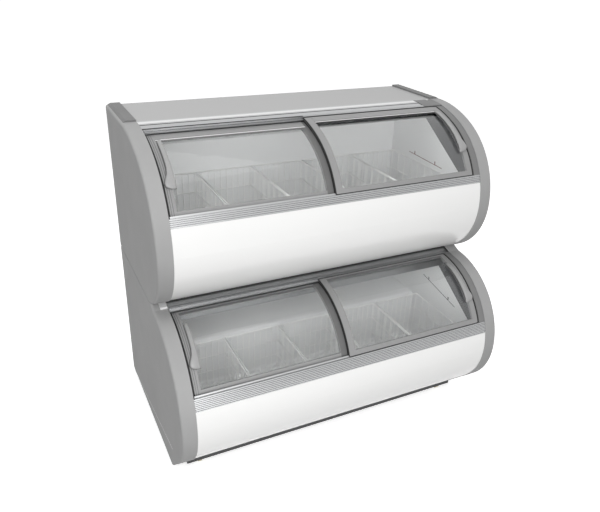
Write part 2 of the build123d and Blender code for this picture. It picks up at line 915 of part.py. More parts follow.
# Wire baskets
def basket(wide, y_front, y_rear, floor, rim, lean):
    """An open wire basket with a leaning front: five flat grilles of square bars."""
    w = basket_wire
    foot = y_front + lean
    thick = w * hypot(lean, rim - floor) / (rim - floor)
    half = wide / 2
    inner = half - w - basket_joint
    middle_z = floor + (rim - floor) * basket_belt
    belt_y = y_front + lean * (1 - basket_belt)
    floor_y0, floor_y1 = foot + thick + basket_joint, y_rear - w - basket_joint
    bay_x = (2 * inner - w) / basket_bays_wide
    bay_y = (floor_y1 - floor_y0 - w) / basket_bays_deep
    upright_x = [-inner + w / 2 + i * bay_x for i in range(1, basket_bays_wide)]
    upright_y = [floor_y0 + w / 2 + i * bay_y for i in range(1, basket_bays_deep)]
    with BuildPart() as cage:
        prism(-inner, inner, (y_front, rim), (y_front + thick, rim), (foot + thick, floor), (foot, floor))
        with BuildSketch(Plane.XZ.offset(-y_front + 1)):
            for low, high in ((floor + w, middle_z - w / 2), (middle_z + w / 2, rim - w)):
                with Locations((0, (low + high) / 2)):
                    with GridLocations(bay_x, 1.0, basket_bays_wide, 1):
                        Rectangle(bay_x - w, high - low)
        extrude(amount=-lean - thick - 2, mode=Mode.SUBTRACT)
        for x in (-half, half - w):
            with BuildSketch(Plane.YZ.offset(x)):
                with BuildLine():
                    Polyline((y_front, rim), (y_rear, rim), (y_rear, floor), (foot, floor), close=True)
                make_face()
                offset(amount=-w, kind=Kind.INTERSECTION, mode=Mode.SUBTRACT)
                with Locations(*[(y, (floor + rim) / 2) for y in upright_y]):
                    Rectangle(w, rim - floor)
                with Locations(((belt_y + y_rear) / 2, middle_z)):
                    Rectangle(y_rear - belt_y - w, w)
            extrude(amount=w)
        with BuildSketch(Plane.XZ.offset(-y_rear)):
            with Locations((0, (floor + rim) / 2)):
                Rectangle(2 * inner, rim - floor)
                Rectangle(2 * (inner - w), rim - floor - 2 * w, mode=Mode.SUBTRACT)
            with Locations(*[(x, (floor + rim) / 2) for x in upright_x]):
                Rectangle(w, rim - floor)
            with Locations((0, middle_z)):
                Rectangle(2 * inner, w)
        extrude(amount=w)
        with BuildSketch(Plane.XY.offset(floor)):
            with Locations((0, (floor_y0 + floor_y1) / 2)):
                Rectangle(2 * inner, floor_y1 - floor_y0)
                Rectangle(2 * (inner - w), floor_y1 - floor_y0 - 2 * w, mode=Mode.SUBTRACT)
            with Locations(*[(x, (floor_y0 + floor_y1) / 2) for x in upright_x]):
                Rectangle(w, floor_y1 - floor_y0)
            with Locations(*[(0, y) for y in upright_y]):
                Rectangle(2 * inner, w)
        extrude(amount=w)
    return cage.part


def basket_row(y_front, y_rear, floor, rim, lean, label):
    pitch = 2 * tub_half / baskets_per_tier
    one = basket(pitch - basket_gap, y_front, y_rear, floor, rim, lean)
    with BuildPart() as row:
        with GridLocations(pitch, 1.0, baskets_per_tier, 1):
            add(one)
    save(row, label)


basket_row(
    upper_front[0] + basket_end_gap + 14.0,
    tub_back - basket_end_gap,
    upper_floor,
    basket_rim_upper,
    basket_lean_upper,
    "upper_baskets",
)
basket_row(
    lower_front[0] + basket_end_gap + 10.0,
    step_front - basket_end_gap - 16.0,
    lower_floor,
    basket_rim_lower,
    basket_lean_lower,
    "lower_baskets",
)


# Castors
def castor(x, y, word):
    """A swivelling fork on a ball race, with a nylon wheel on its axle."""
    crown = 2 * wheel_radius + fork_play + fork_sheet
    half_gap = wheel_width / 2 + fork_play
    leg = half_gap + fork_sheet
    wheel_y = y - castor_trail
    seat = base_height - base_sheet - castor_plate - race_play
    with BuildPart() as fork:
        with BuildSketch(Plane.XY.offset(crown - fork_sheet)):
            with Locations((x, y - castor_trail / 2)):
                SlotOverall(castor_trail + 2 * leg, 2 * leg, rotation=90)
        extrude(amount=fork_sheet)
        for side in (-1, 1):
            x0 = x + side * half_gap
            x1 = x + side * leg
            with BuildSketch(Plane.YZ.offset(min(x0, x1))):
                with BuildLine():
                    Polyline(
                        (y + 10.0, crown - fork_sheet / 2),
                        (wheel_y - 12.0, crown - fork_sheet / 2),
                        (wheel_y - 9.0, wheel_radius - 8.0),
                        (wheel_y + 9.0, wheel_radius - 8.0),
                        close=True,
                    )
                make_face()
            extrude(amount=fork_sheet)
        with Locations(Plane.XY.offset(crown - 0.5) * Location((x, y, 0))):
            Cylinder(race_radius, seat - crown + 0.5, align=(Align.CENTER, Align.CENTER, Align.MIN))
        with Locations(Location((x, wheel_y, wheel_radius), (0, 90, 0))):
            Cylinder(axle_radius, 2 * leg + 2.0)
    save(fork, f"castor_{word}_fork")
    axle = Plane((x, wheel_y, wheel_radius), x_dir=(0, 1, 0), z_dir=(1, 0, 0))
    with BuildPart() as wheel:
        with BuildSketch(axle) as tread:
            Circle(wheel_radius)
        extrude(tread.sketch, amount=wheel_width / 2, both=True)
        chamfer(wheel.edges(), wheel_tread_bevel)
        for end in (-1, 1):
            with BuildSketch(axle.offset(end * wheel_width / 2)) as dish:
                Circle(wheel_radius - 7.0)
                Circle(axle_radius + 4.0, mode=Mode.SUBTRACT)
            extrude(dish.sketch, amount=-end * 3.0, mode=Mode.SUBTRACT)
        with BuildSketch(axle) as bore:
            Circle(axle_radius + axle_play)
        extrude(bore.sketch, amount=wheel_width, both=True, mode=Mode.SUBTRACT)
    save(wheel, f"castor_{word}_wheel")


castor_x = half_width - castor_side_inset
castor_front_y = skirt_front + castor_front_setback
castor_rear_y = foam_back - castor_rear_setback
castors = (
    (-castor_x, castor_front_y, "front_left"),
    (castor_x, castor_front_y, "front_right"),
    (-castor_x, castor_rear_y, "rear_left"),
    (castor_x, castor_rear_y, "rear_right"),
)
for x, y, word in castors:
    castor(x, y, word)

with BuildPart() as castor_plates:
    with BuildSketch(Plane.XY.offset(base_height - base_sheet - castor_plate)):
        with Locations(*[(x, y) for x, y, _ in castors]):
            Rectangle(castor_plate_size, castor_plate_size)
    extrude(amount=castor_plate)
save(castor_plates, "castor_plates")

# Compressor on its rubber feet
compressor_x = 250.0
compressor_y = 262.0
compressor_radius = 72.0
compressor_body = 158.0
compressor_dome = 26.0
compressor_band = 78.0
foot_height = 12.0
plate_z = base_height + foot_height
foot_spread_x = 150.0
foot_spread_y = 120.0

with BuildPart() as compressor:
    with BuildSketch(Plane.XY.offset(plate_z)):
        with Locations((compressor_x, compressor_y)):
            RectangleRounded(foot_spread_x + 34.0, foot_spread_y + 34.0, 12.0)
    extrude(amount=3.0)
    with BuildSketch(Plane.XY.offset(plate_z + 2.0)):
        with Locations((compressor_x, compressor_y)):
            Circle(compressor_radius)
    extrude(amount=compressor_body)
    chamfer(compressor.edges().group_by(Axis.Z)[-1], compressor_dome)
    with BuildSketch(Plane.XY.offset(plate_z + compressor_band)):
        with Locations((compressor_x, compressor_y)):
            Circle(compressor_radius + 4.0)
    extrude(amount=6.0)
    with Locations((compressor_x, compressor_y - compressor_radius - 8.0, plate_z + 66.0)):
        Box(46.0, 34.0, 62.0)
save(compressor, "compressor")

with BuildPart() as compressor_feet:
    with BuildSketch(Plane.XY.offset(base_height)):
        with Locations((compressor_x, compressor_y)):
            with GridLocations(foot_spread_x, foot_spread_y, 2, 2):
                Circle(12.0)
    extrude(amount=foot_height)
save(compressor_feet, "compressor_feet")

# Condenser, fan shroud and fan
condenser_x = -230.0
condenser_y = 372.0
condenser_width = 260.0
condenser_depth = 44.0
condenser_headroom = 27.0
condenser_height = machine_ceiling - base_height - condenser_headroom
condenser_fins = 14
shroud_headroom = 1.0
fan_z = (base_height + machine_ceiling - shroud_headroom) / 2
fan_radius = 84.0
fan_clearance = 4.0
motor_radius = 30.0

with BuildPart() as condenser:
    with BuildSketch(Plane.XY.offset(base_height)):
        with Locations((condenser_x, condenser_y)):
            Rectangle(condenser_width, condenser_depth)
            pitch = condenser_width / condenser_fins
            for side in (-1, 1):
                with Locations((0, side * condenser_depth * 0.32)):
                    with GridLocations(pitch, 1.0, condenser_fins - 1, 1):
                        Rectangle(pitch - 3.0, condenser_depth * 0.38, mode=Mode.SUBTRACT)
    extrude(amount=condenser_height)
save(condenser, "condenser")

with BuildPart() as fan_shroud:
    shroud_y = condenser_y - condenser_depth / 2
    half = fan_radius + fan_clearance
    with BuildSketch(Plane.XZ.offset(-shroud_y)):
        with Locations((condenser_x, fan_z)):
            Rectangle(2 * half + 24.0, 2 * (fan_z - base_height))
            Circle(half, mode=Mode.SUBTRACT)
    extrude(amount=3.0)
    with BuildSketch(Plane.XZ.offset(-shroud_y)):
        with Locations((condenser_x, fan_z)):
            Circle(half + 3.0)
            Circle(half, mode=Mode.SUBTRACT)
    extrude(amount=46.0)
    with BuildSketch(Plane.XZ.offset(-shroud_y + 46.0)):
        with Locations((condenser_x, fan_z)):
            Rectangle(2 * half + 2.0, 14.0)
            Rectangle(14.0, 2 * half + 2.0)
            Circle(motor_radius + 4.0)
    extrude(amount=3.0)
    motor_back = shroud_y - 49.0
    with BuildSketch(Plane.XZ.offset(-motor_back)):
        with Locations((condenser_x, fan_z)):
            Circle(motor_radius)
    extrude(amount=44.0)
    with BuildSketch(Plane.XZ.offset(-motor_back)):
        with Locations((condenser_x, fan_z)):
            Circle(shaft_radius)
    extrude(amount=-34.0)
save(fan_shroud, "fan_shroud")

hub_front = motor_back + 5.0
hub_length = 26.0
with BuildPart() as fan_rotor:
    with BuildSketch(Plane.XZ.offset(-hub_front)):
        with Locations((condenser_x, fan_z)):
            Circle(hub_radius)
            Circle(shaft_radius + axle_play, mode=Mode.SUBTRACT)
    extrude(amount=-hub_length)
    for i in range(fan_blades):
        spoke = Pos(condenser_x, hub_front + hub_length / 2, fan_z) * Rot(0, i * 360.0 / fan_blades, 0)
        with Locations(spoke * Pos(0, 0, (hub_radius + blade_tip) / 2 - 1.0) * Rot(0, 0, blade_pitch)):
            Box(blade_chord, blade_sheet, blade_tip - hub_radius + 2.0)
save(fan_rotor, "fan_rotor")

# Refrigerant tubes between the compressor, the condenser and the coils
with BuildPart() as refrigerant_lines:
    start_x = compressor_x - compressor_radius
    condenser_end = condenser_x + condenser_width / 2
    tube_z = base_height + condenser_height - 30.0
    with BuildLine() as discharge:
        FilletPolyline(
            (start_x, compressor_y, tube_z - 48.0),
            (start_x - 60.0, compressor_y, tube_z - 48.0),
            (start_x - 60.0, compressor_y, tube_z),
            (start_x - 60.0, condenser_y, tube_z),
            (condenser_end, condenser_y, tube_z),
            radius=14.0,
        )
    with BuildSketch(Plane(discharge.line @ 0, z_dir=discharge.line % 0)):
        Circle(tube_radius)
    sweep(path=discharge.line)
    with BuildLine() as suction:
        FilletPolyline(
            (compressor_x + compressor_radius, compressor_y, tube_z - 48.0),
            (compressor_x + compressor_radius + 40.0, compressor_y, tube_z - 48.0),
            (compressor_x + compressor_radius + 40.0, compressor_y, machine_ceiling),
            radius=14.0,
        )
    with BuildSketch(Plane(suction.line @ 0, z_dir=suction.line % 0)):
        Circle(tube_radius)
    sweep(path=suction.line)
save(refrigerant_lines, "refrigerant_lines")

# Thermostat and its knob
housing_back = foam_back - 15.0
with BuildPart() as thermostat_housing:
    with Locations((knob_x, housing_back - housing_depth / 2, knob_z)):
        Box(housing_size, housing_depth, housing_size)
    for x in (-1, 1):
        for z in (-1, 1):
            reach = housing_size / 2 - 4.0
            with Locations((knob_x + x * reach, (housing_back + foam_back) / 2, knob_z + z * reach)):
                Box(8.0, foam_back - housing_back, 8.0)
    with BuildSketch(Plane.XZ.offset(-housing_back)):
        with Locations((knob_x, knob_z)):
            Circle(shaft_radius)
    extrude(amount=-10.0)
save(thermostat_housing, "thermostat_housing")

with BuildPart() as thermostat_knob:
    knob_back = back - 0.5
    with BuildSketch(Plane.XZ.offset(-knob_back)):
        with Locations((knob_x, knob_z)):
            Circle(knob_radius)
    extrude(amount=knob_back - housing_back - 1.0)
    with Locations((knob_x, knob_back, knob_z + knob_radius / 2)):
        Box(2.0, 2.0, knob_radius - 2.0, mode=Mode.SUBTRACT)
    with BuildSketch(Plane.XZ.offset(-housing_back)):
        with Locations((knob_x, knob_z)):
            Circle(shaft_radius + axle_play)
    extrude(amount=-10.5, mode=Mode.SUBTRACT)
save(thermostat_knob, "thermostat_knob")

# Power inlet in its cutout
with BuildPart() as power_inlet:
    inlet_back = back - 0.5
    with Locations((inlet_x, inlet_back - inlet_depth / 2, inlet_z)):
        Box(inlet_width - 0.4, inlet_depth, inlet_height - 0.4)
    with Locations((inlet_x, foam_back - 1.25, inlet_z)):
        Box(inlet_width + 10.0, 2.5, inlet_height + 10.0)
    with Locations((inlet_x, inlet_back - 8.0, inlet_z)):
        Box(inlet_width - 6.0, 16.0, inlet_height - 6.0, mode=Mode.SUBTRACT)
    for dx, dz in ((-7.0, -3.0), (0.0, 3.0), (7.0, -3.0)):
        with Locations((inlet_x + dx, inlet_back - 10.0, inlet_z + dz)):
            Box(2.0, 14.0, 4.0)
save(power_inlet, "power_inlet")

# Screws
with BuildPart() as rail_screws:
    screw_angle = upper.step(groove_angle, -polish_groove / 2)
    for i in range(rail_screw_count):
        x = (i - (rail_screw_count - 1) / 2) * rail_screw_pitch
        with BuildSketch(facing(upper, screw_angle, polish_depth, x)):
            Circle(rail_screw_radius)
        extrude(amount=rail_screw_head)
save(rail_screws, "rail_screws")

with BuildPart() as grille_screws:
    for x in grille_screw_x:
        with Locations(Location((x, back, grille_screw_z), (90, 0, 0))):
            Cylinder(screw_head_radius, screw_head, align=(Align.CENTER, Align.CENTER, Align.MIN))
            Cylinder(screw_radius, rear_skin + base_sheet + 4.0, align=(Align.CENTER, Align.CENTER, Align.MIN))
save(grille_screws, "grille_screws")
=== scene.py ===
# %% [markdown]
# # A two-tier display freezer
# Two curved tubs stand one behind and above the other, each under a pair of sliding bent-glass
# doors. The solid model already has every rigid piece, so this lesson gives them their finishes,
# adds the pieces that are too fine for it, and lights them.

# %% Load the model
import math

import bpy
from mathutils import Euler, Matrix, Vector


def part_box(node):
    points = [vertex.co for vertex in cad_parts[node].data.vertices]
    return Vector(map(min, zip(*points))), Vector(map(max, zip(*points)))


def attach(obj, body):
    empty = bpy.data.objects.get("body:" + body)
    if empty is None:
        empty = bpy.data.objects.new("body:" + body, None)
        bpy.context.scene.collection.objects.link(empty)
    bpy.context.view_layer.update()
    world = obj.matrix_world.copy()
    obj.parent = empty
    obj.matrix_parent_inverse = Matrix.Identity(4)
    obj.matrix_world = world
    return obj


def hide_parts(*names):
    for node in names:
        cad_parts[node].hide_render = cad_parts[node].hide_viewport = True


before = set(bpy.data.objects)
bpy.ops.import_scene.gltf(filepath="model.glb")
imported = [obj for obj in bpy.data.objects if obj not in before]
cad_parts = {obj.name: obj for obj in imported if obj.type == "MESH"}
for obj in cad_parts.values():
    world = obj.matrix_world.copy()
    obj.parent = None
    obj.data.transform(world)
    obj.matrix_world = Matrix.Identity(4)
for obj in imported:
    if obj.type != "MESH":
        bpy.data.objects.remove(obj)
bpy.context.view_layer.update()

# %% [markdown]
# ## Camera
# The photograph was taken from the left front, above the upper deck. Its camera was found by
# fitting the straight edges of the cabinet, so a fixed place and three turns are used, and the lens
# comes from the fitted focal length. The small shifts put the optical centre where it was.

# %% Camera
photo_width, photo_height = 600, 512
focal_px = 611.48
optical_centre = (300.82, 258.96)
sensor_mm = 36.0
camera_place = (-1.0005, -1.9101, 1.7237)
yaw, pitch, roll = math.radians(26.78), math.radians(26.688), math.radians(2.143)

camera_data = bpy.data.cameras.new("camera")
camera_data.sensor_width = sensor_mm
camera_data.lens = focal_px / photo_width * sensor_mm
camera_data.shift_x = (photo_width / 2 - optical_centre[0]) / photo_width
camera_data.shift_y = (optical_centre[1] - photo_height / 2) / photo_width
camera = bpy.data.objects.new("camera", camera_data)
camera.location = camera_place
turn = Euler((0, 0, -yaw)).to_matrix() @ Euler((math.pi / 2 - pitch, 0, 0)).to_matrix()
camera.rotation_euler = (turn @ Euler((0, 0, roll)).to_matrix()).to_euler()
bpy.context.scene.collection.objects.link(camera)
bpy.context.scene.camera = camera
print("lens:", round(camera_data.lens, 2), "mm")

# %% [markdown]
# ## Colour and node helpers
# Finishes are picked as sRGB hex values, the way a colour picker shows them, while shaders work in
# linear light, so one function turns the one into the other. A second one adds any node with its
# settings and links, which keeps each material below to a few readable lines.


# %% Helpers
def linear(hex_colour):
    """An sRGB hex colour as linear red, green, blue and alpha."""
    values = [int(hex_colour[i : i + 2], 16) / 255 for i in (1, 3, 5)]
    return [v / 12.92 if v <= 0.04045 else ((v + 0.055) / 1.055) ** 2.4 for v in values] + [1.0]


def add_node(tree, kind, inputs=None, **settings):
    """Adds a node: settings are its attributes, inputs are values or the sockets to link from."""
    node = tree.nodes.new(kind)
    for name, value in settings.items():
        setattr(node, name, value)
    for name, value in (inputs or {}).items():
        if isinstance(value, bpy.types.NodeSocket):
            tree.links.new(value, node.inputs[name])
        else:
            node.inputs[name].default_value = value
    return node


def new_material(name):
    """An empty node material and its tree, with the output node ready."""
    material = bpy.data.materials.new(name)
    material.use_nodes = True
    tree = material.node_tree
    tree.nodes.clear()
    output = tree.nodes.new("ShaderNodeOutputMaterial")
    return material, tree, output


def finish_shader(tree, output, inputs):
    """A Principled shader with these inputs, linked to the output."""
    shader = add_node(tree, "ShaderNodeBsdfPrincipled", inputs)
    tree.links.new(shader.outputs["BSDF"], output.inputs["Surface"])
    return shader


def place(tree):
    """The place on the object in metres, which every pattern here is scaled from."""
    return tree.nodes.new("ShaderNodeTexCoord").outputs["Object"]


def per_metre(millimetres):
    """The texture scale that gives a pattern of this real size."""
    return 1000.0 / millimetres


def noise(tree, where, millimetres, detail):
    """A noise whose lumps have this real size."""
    inputs = {"Vector": where, "Scale": per_metre(millimetres), "Detail": detail}
    return add_node(tree, "ShaderNodeTexNoise", inputs).outputs["Fac"]


def relief(tree, height, strength, depth_mm):
    """The surface direction after a bump of this real depth."""
    inputs = {"Height": height, "Strength": strength, "Distance": depth_mm / 1000}
    return add_node(tree, "ShaderNodeBump", inputs).outputs["Normal"]


print("mid grey in linear light:", round(linear("#808080")[0], 3))

# %% [markdown]
# ## Moulded ABS
# The end caps, trims and jambs are ABS sheet and mouldings with a fine spark-eroded grain. The grain
# breaks up reflections, so the plastic looks soft and even. Two grey tones a few centimetres across
# stand for the slight unevenness of a large moulding, and a fine noise bumps the surface.

# %% Moulded plastics
cloud_mm = 120
grain_strength = 0.35
plastic_ior = 1.54


def grained_plastic(name, light, dark, roughness, grain_mm, depth_mm, specular=0.5):
    """A plastic of two close tones, with a grain of this real size and depth."""
    material, tree, output = new_material(name)
    where = place(tree)
    tone = add_node(
        tree,
        "ShaderNodeMix",
        {"Factor": noise(tree, where, cloud_mm, 3.0), "A": linear(light), "B": linear(dark)},
        data_type="RGBA",
    )
    finish_shader(
        tree,
        output,
        {
            "Base Color": tone.outputs["Result"],
            "Roughness": roughness,
            "Specular IOR Level": specular,
            "IOR": plastic_ior,
            "Normal": relief(tree, noise(tree, where, grain_mm, 2.0), grain_strength, depth_mm),
        },
    )
    return material


moulded_abs = grained_plastic("moulded ABS", "#a8a8a8", "#9c9c9c", 0.6, 1.2, 0.25, specular=0.2)
trim_abs = grained_plastic("grained ABS strip", "#7c7c7c", "#6a6a6a", 0.6, 2.0, 0.5)
jamb_abs = grained_plastic("jamb ABS", "#7e7e7e", "#707070", 0.55, 1.5, 0.4)
door_abs = grained_plastic("door frame ABS", "#949494", "#8c8c8c", 0.4, 1.0, 0.1)
# Painted shade: a dark grey for strips where doors overlap, under grips and at door heads
painted_shade_abs = grained_plastic("painted shade on door ABS", "#6c6c6c", "#626262", 0.5, 1.0, 0.1)
# Pale ABS for the rail block and end spot, and painted highlight for the pale beads and lines
pale_and_highlight_abs = grained_plastic("pale ABS and painted highlight", "#e4e4e4", "#dcdcdc", 0.3, 1.0, 0.05)
grip_abs = grained_plastic("grip ABS", "#a0a0a0", "#989898", 0.3, 0.8, 0.05)
cheek_abs = grained_plastic("cheek ABS", "#626264", "#58585a", 0.5, 1.2, 0.2)
black_abs = grained_plastic("black ABS", "#1c1c1c", "#161616", 0.45, 1.0, 0.1)
print("plastics:", moulded_abs.name, trim_abs.name, jamb_abs.name, door_abs.name, grip_abs.name)

# %% [markdown]
# ## Enamelled steel
# The curved fronts are steel sheet with a glossy white baked enamel. Enamel levels out as it flows,
# so it has no grain, but a long faint waviness shows in its reflections. The deck and the rear
# panels have a flatter coat, and the wires of the baskets are dipped in white plastic.

# %% Painted sheet
wave_strength = 0.3
gloss_roughness = 0.05


def coated_steel(name, colour, roughness, coat, wave_mm, wave_depth_mm):
    """A painted or dipped surface: coat is the weight of its clear gloss."""
    material, tree, output = new_material(name)
    wave = noise(tree, place(tree), wave_mm, 1.0)
    finish_shader(
        tree,
        output,
        {
            "Base Color": linear(colour),
            "Roughness": roughness,
            "Coat Weight": coat,
            "Coat Roughness": gloss_roughness,
            "Normal": relief(tree, wave, wave_strength, wave_depth_mm),
        },
    )
    return material


white_enamel = coated_steel("white baked enamel", "#f0f0ef", 0.25, 0.3, 220, 0.6)
deck_coat = coated_steel("light grey powder coat", "#acacac", 0.45, 0.0, 3.0, 0.03)
rear_coat = coated_steel("galvanised sheet", "#a9abad", 0.5, 0.0, 9.0, 0.05)
base_coat = coated_steel("dark powder coat", "#3c3c3d", 0.55, 0.0, 3.0, 0.08)
compressor_enamel = coated_steel("black stove enamel", "#0c0c0d", 0.3, 0.3, 40, 0.2)
wire_coat = coated_steel("white dipped coating", "#f2f2f0", 0.3, 0.2, 6.0, 0.1)
print("coatings:", white_enamel.name, deck_coat.name, wire_coat.name)

# %% [markdown]
# ## Metals
# The door rails are aluminium extrusions, anodised to a satin grey. Fine die lines run along them,
# so a noise stretched along X carries the roughness. Painted shade darkens the bottoms of their
# grooves, found from the shape by an ambient occlusion node. Copper and zinc pieces are plainer.

# %% Metals
# Painted shade colour for the groove bottoms, with the occlusion levels where it is full and where it
# ends
groove_shade = "#3c3c3d"
groove_full, groove_none = 0.35, 0.85
smoothest, roughest = 0.92, 1.1


def drawn_metal(name, colour, roughness, line_mm, stretch=60.0, shade_reach_mm=0.0):
    """A metal with die lines along X, with painted shade in grooves narrower than shade_reach_mm."""
    material, tree, output = new_material(name)
    lines = add_node(
        tree,
        "ShaderNodeMapping",
        {
            "Vector": place(tree),
            "Scale": (per_metre(line_mm * stretch), per_metre(line_mm), per_metre(line_mm)),
        },
    )
    streak = add_node(
        tree,
        "ShaderNodeTexNoise",
        {"Vector": lines.outputs["Vector"], "Scale": 1.0, "Detail": 2.0},
    )
    spread = add_node(
        tree,
        "ShaderNodeMapRange",
        {
            "Value": streak.outputs["Fac"],
            "To Min": roughness * smoothest,
            "To Max": roughness * roughest,
        },
    )
    shader = finish_shader(
        tree,
        output,
        {
            "Base Color": linear(colour),
            "Metallic": 1.0,
            "Roughness": spread.outputs["Result"],
        },
    )
    if shade_reach_mm:
        reach = {"Distance": shade_reach_mm / 1000}
        depth = add_node(tree, "ShaderNodeAmbientOcclusion", reach, samples=6)
        shade = add_node(tree, "ShaderNodeValToRGB", {"Fac": depth.outputs["AO"]})
        dark_end, light_end = shade.color_ramp.elements
        dark_end.position, light_end.position = groove_full, groove_none
        dark_end.color, light_end.color = linear(groove_shade), linear(colour)
        tree.links.new(shade.outputs["Color"], shader.inputs["Base Color"])
    return material


# The rails' grooves get painted shade from the occlusion node
rail_aluminium = drawn_metal("anodised aluminium", "#babbbc", 0.34, 0.8, stretch=500.0, shade_reach_mm=4.0)
head_aluminium = drawn_metal("bright anodised aluminium", "#babbbc", 0.32, 0.8, stretch=500.0)
coil_aluminium = drawn_metal("plain aluminium", "#c0c2c4", 0.35, 1.5)
zinc_steel = drawn_metal("zinc plated steel", "#a8a8a6", 0.35, 1.0, stretch=4.0)
copper = drawn_metal("drawn copper", "#b8734f", 0.3, 0.8)
print("metals:", rail_aluminium.name, zinc_steel.name, copper.name)

# %% [markdown]
# ## Liner, foam, rubber and nylon
# The tubs are vacuum-formed white polystyrene with a soft gloss. The castor wheels are cream nylon,
# the seals are black rubber and the insulation is rigid foam. The load lines are printed ink.

# %% Plain plastics
liner_hips = grained_plastic("white polystyrene liner", "#ebebeb", "#e6e6e6", 0.4, 3.0, 0.03)
nylon = grained_plastic("cream nylon", "#e4dcc0", "#dbd2b2", 0.4, 1.0, 0.05)
rubber = grained_plastic("black rubber", "#1b1b1b", "#141414", 0.7, 0.8, 0.1)
foam = grained_plastic("rigid foam", "#e6d9ac", "#dccd99", 0.8, 1.5, 0.5)
line_red = grained_plastic("dark red line", "#6f2a20", "#66251c", 0.5, 1.0, 0.02)
line_black = grained_plastic("black line", "#2a2a2a", "#222222", 0.5, 1.0, 0.02)
print("plain plastics:", liner_hips.name, nylon.name, rubber.name, foam.name)

# %% [markdown]
# ## Bent glass
# The doors are 4 mm float glass, bent to the curve of the tiers. Clear glass takes its look from what
# it reflects. Light that goes through to the tub is let pass by a transparent shader on shadow rays,
# because a path tracer would otherwise leave the tub nearly dark.


# %% Glass
def clear_glass(name):
    """Glass that refracts what is seen through it and casts almost no shadow."""
    material, tree, output = new_material(name)
    shader = finish_shader(
        tree,
        output,
        {
            "Base Color": linear("#fdfefe"),
            "Roughness": 0.02,
            "Specular IOR Level": 0.25,
            "IOR": 1.5,
            "Transmission Weight": 1.0,
        },
    )
    light_path = tree.nodes.new("ShaderNodeLightPath")
    passing = add_node(tree, "ShaderNodeBsdfTransparent", {"Color": linear("#fcfdfd")})
    mix = add_node(
        tree,
        "ShaderNodeMixShader",
        {0: light_path.outputs["Is Shadow Ray"], 1: shader.outputs["BSDF"], 2: passing.outputs["BSDF"]},
    )
    tree.links.new(mix.outputs["Shader"], output.inputs["Surface"])
    return material


bent_glass = clear_glass("bent float glass")
print("glass:", bent_glass.name)

# %% [markdown]
# ## Which piece has which finish
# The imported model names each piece, so a short list of names against finishes is the clearest way to
# dress them. A check that nothing was missed comes at the end of the cell.

# %% Dress the solid pieces
corners = ("front_left", "front_right", "rear_left", "rear_right")
door_names = [f"{tier}_{side}_door" for tier in ("upper", "lower") for side in ("left", "right")]
finishes = {
    moulded_abs: ["left_upper_cap", "right_upper_cap", "left_lower_cap", "right_lower_cap"],
    trim_abs: ["left_top_trim", "right_top_trim"],
    deck_coat: ["top_deck"],
    white_enamel: ["upper_front_panel", "lower_front_panel"],
    rail_aluminium: ["upper_bottom_rail", "lower_bottom_rail", "upper_top_rail"],
    head_aluminium: ["lower_top_rail"],
    jamb_abs: ["upper_right_jamb", "lower_right_jamb"],
    cheek_abs: ["upper_cheeks", "lower_cheeks"],
    liner_hips: ["upper_liner", "lower_liner"],
    foam: ["upper_foam", "lower_foam"],
    rear_coat: ["upper_rear_panel", "lower_rear_panel", "machine_grille"],
    coil_aluminium: ["evaporator_coils", "condenser"],
    copper: ["refrigerant_lines"],
    compressor_enamel: ["compressor"],
    rubber: ["compressor_feet"],
    black_abs: ["fan_shroud", "fan_rotor", "thermostat_housing", "thermostat_knob", "power_inlet"],
    zinc_steel: ["rail_screws", "grille_screws"] + [f"castor_{c}_fork" for c in corners],
    nylon: [f"castor_{c}_wheel" for c in corners],
    base_coat: ["base_frame", "castor_plates"],
    wire_coat: ["upper_baskets", "lower_baskets"],
    door_abs: [f"{d}_frame" for d in door_names],
    grip_abs: [f"{d}_handle" for d in door_names],
    bent_glass: [f"{d}_glass" for d in door_names],
}
dressed = set()
for finish, names in finishes.items():
    for name in names:
        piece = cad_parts[name]
        piece.data.materials.clear()
        piece.data.materials.append(finish)
        dressed.add(name)
print("not dressed:", sorted(set(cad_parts) - dressed))

# %% [markdown]
# ## Wire baskets
# Each basket is bent and spot-welded from round wire, then dipped in white plastic. A curve with a
# round bevel is the natural tool for wire: every rod is one spline. The sizes are read from the solid
# basket, so the wires stay in its space.

# %% Basket helper
wire = 0.0034
cross_pitch = 0.0255
length_pitch = 0.05
bend_radius = 0.012
ring_levels = (0.33, 0.66)


def wire_curve(name, runs, thickness):
    """One curve object with a round rod along each run of points."""
    data = bpy.data.curves.new(name, "CURVE")
    data.dimensions = "3D"
    data.bevel_depth = thickness / 2
    data.bevel_resolution = 2
    data.use_fill_caps = True
    for points, closed in runs:
        spline = data.splines.new("POLY")
        spline.points.add(len(points) - 1)
        for point, place_at in zip(spline.points, points):
            point.co = (*place_at, 1.0)
        spline.use_cyclic_u = closed
    piece = bpy.data.objects.new(name, data)
    bpy.context.scene.collection.objects.link(piece)
    return piece


def rounded(points, radius, steps=4):
    """The points of an open run with its corners bent to a radius."""
    bent = [Vector(points[0])]
    for before, corner, after in zip(points, points[1:], points[2:]):
        before, corner, after = Vector(before), Vector(corner), Vector(after)
        into = (before - corner).normalized() * radius
        out = (after - corner).normalized() * radius
        for i in range(steps + 1):
            t = i / steps
            bent.append(corner + into * (1 - t) ** 2 + out * t**2)
    bent.append(Vector(points[-1]))
    return bent


